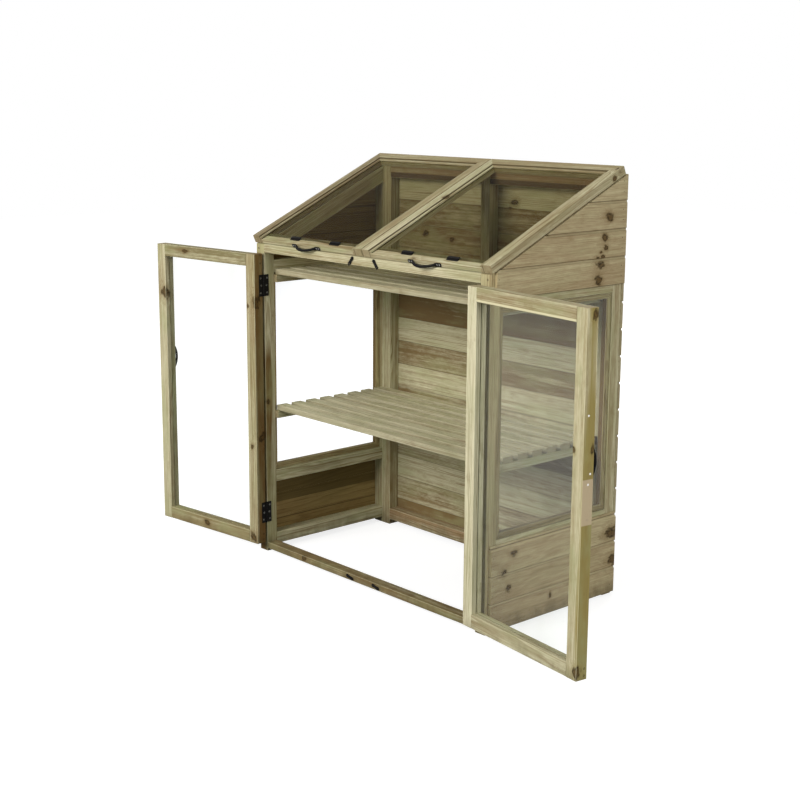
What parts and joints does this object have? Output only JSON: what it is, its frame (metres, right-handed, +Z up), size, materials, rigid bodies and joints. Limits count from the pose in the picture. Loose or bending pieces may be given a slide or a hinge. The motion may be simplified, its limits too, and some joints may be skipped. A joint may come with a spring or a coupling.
{
  "type": "mini greenhouse",
  "caption": "Free-standing timber mini greenhouse with shiplap sides, glazed double doors, glazed side windows, slatted shelves and lift-up glazed roof lids.",
  "frame": {"origin": "on the ground, at the middle of the back faces of the back posts and back studs", "axes": "+X to the right of someone facing the doors, +Y from the doors towards the back, +Z up; drawn with both doors standing open"},
  "size_m": [2.2008, 0.7627, 1.4784],
  "materials": {
    "frame_timber": "planed softwood, pressure treated, matt",
    "boards": "planed softwood, pressure treated, matt",
    "shelf_timber": "planed softwood, pressure treated, matt",
    "door_timber": "planed softwood, pressure treated, matt",
    "lid_timber": "planed softwood, pressure treated, matt",
    "pane": "clear flat sheet, glossy",
    "black_metal": "black powder coat, satin"
  },
  "bodies": {
    "frame": {"back_boards": "boards", "back_post_left": "frame_timber", "back_post_right": "frame_timber", "back_rails": "frame_timber", "back_stud_centre": "frame_timber", "back_stud_left": "frame_timber", "back_stud_right": "frame_timber", "door_post_leaves": "black_metal", "front_header": "frame_timber", "front_post_left": "frame_timber", "front_post_right": "frame_timber", "front_sill": "frame_timber", "left_lower_boards": "boards", "left_side_pane": "pane", "left_side_rails": "frame_timber", "left_upper_boards": "boards", "lid_rail_leaves": "black_metal", "lower_shelf_slats": "shelf_timber", "right_lower_boards": "boards", "right_side_pane": "pane", "right_side_rails": "frame_timber", "right_upper_boards": "boards", "roof_rafters": "frame_timber", "shelf_bearers": "shelf_timber", "upper_shelf_slats": "shelf_timber", "window_beads": "frame_timber"},
    "left_door": {"left_door_bottom_rail": "door_timber", "left_door_hinge_leaves": "black_metal", "left_door_hinge_stile": "door_timber", "left_door_meeting_stile": "door_timber", "left_door_pane": "pane", "left_door_pull": "black_metal", "left_door_top_rail": "door_timber"},
    "right_door": {"right_door_bottom_rail": "door_timber", "right_door_hinge_leaves": "black_metal", "right_door_hinge_stile": "door_timber", "right_door_meeting_stile": "door_timber", "right_door_pane": "pane", "right_door_pull": "black_metal", "right_door_top_rail": "door_timber"},
    "left_lid": {"left_lid_back_rail": "lid_timber", "left_lid_clips": "black_metal", "left_lid_front_rail": "lid_timber", "left_lid_hinge_leaves": "black_metal", "left_lid_inner_stile": "lid_timber", "left_lid_outer_stile": "lid_timber", "left_lid_pane": "pane", "left_lid_pull": "black_metal"},
    "right_lid": {"right_lid_back_rail": "lid_timber", "right_lid_clips": "black_metal", "right_lid_front_rail": "lid_timber", "right_lid_hinge_leaves": "black_metal", "right_lid_inner_stile": "lid_timber", "right_lid_outer_stile": "lid_timber", "right_lid_pane": "pane", "right_lid_pull": "black_metal"},
    "header_button_left": {"header_button_left": "black_metal"},
    "header_button_right": {"header_button_right": "black_metal"},
    "sill_button_left": {"sill_button_left": "black_metal"},
    "sill_button_right": {"sill_button_right": "black_metal"}
  },
  "joints": [
    {"name": "left_door_hinge", "type": "hinge", "parent": "frame", "child": "left_door", "pos_m": [-0.5534, -0.629, 0.5855], "axis": [0, 0, 1], "range_deg": [-5, 173.8]},
    {"name": "right_door_hinge", "type": "hinge", "parent": "frame", "child": "right_door", "pos_m": [0.5534, -0.629, 0.5855], "axis": [0, 0, 1], "range_deg": [-172.1, 5]},
    {"name": "left_lid_hinge", "type": "hinge", "parent": "frame", "child": "left_lid", "pos_m": [-0.30407, 0.00373, 1.45529], "axis": [-1, 0, 0], "range_deg": [0, 90]},
    {"name": "right_lid_hinge", "type": "hinge", "parent": "frame", "child": "right_lid", "pos_m": [0.30407, 0.00373, 1.45529], "axis": [-1, 0, 0], "range_deg": [0, 90]},
    {"name": "header_button_left_pivot", "type": "hinge", "parent": "frame", "child": "header_button_left", "pos_m": [-0.0555, -0.625, 1.161], "axis": [0, 1, 0], "range_deg": [-38, 52]},
    {"name": "header_button_right_pivot", "type": "hinge", "parent": "frame", "child": "header_button_right", "pos_m": [0.0555, -0.625, 1.161], "axis": [0, -1, 0], "range_deg": [-38, 52]},
    {"name": "sill_button_left_pivot", "type": "hinge", "parent": "frame", "child": "sill_button_left", "pos_m": [-0.082, -0.625, 0.025], "axis": [0, -1, 0], "range_deg": [-25, 103]},
    {"name": "sill_button_right_pivot", "type": "hinge", "parent": "frame", "child": "sill_button_right", "pos_m": [0.056, -0.625, 0.025], "axis": [0, -1, 0], "range_deg": [-25, 103]}
  ]
}
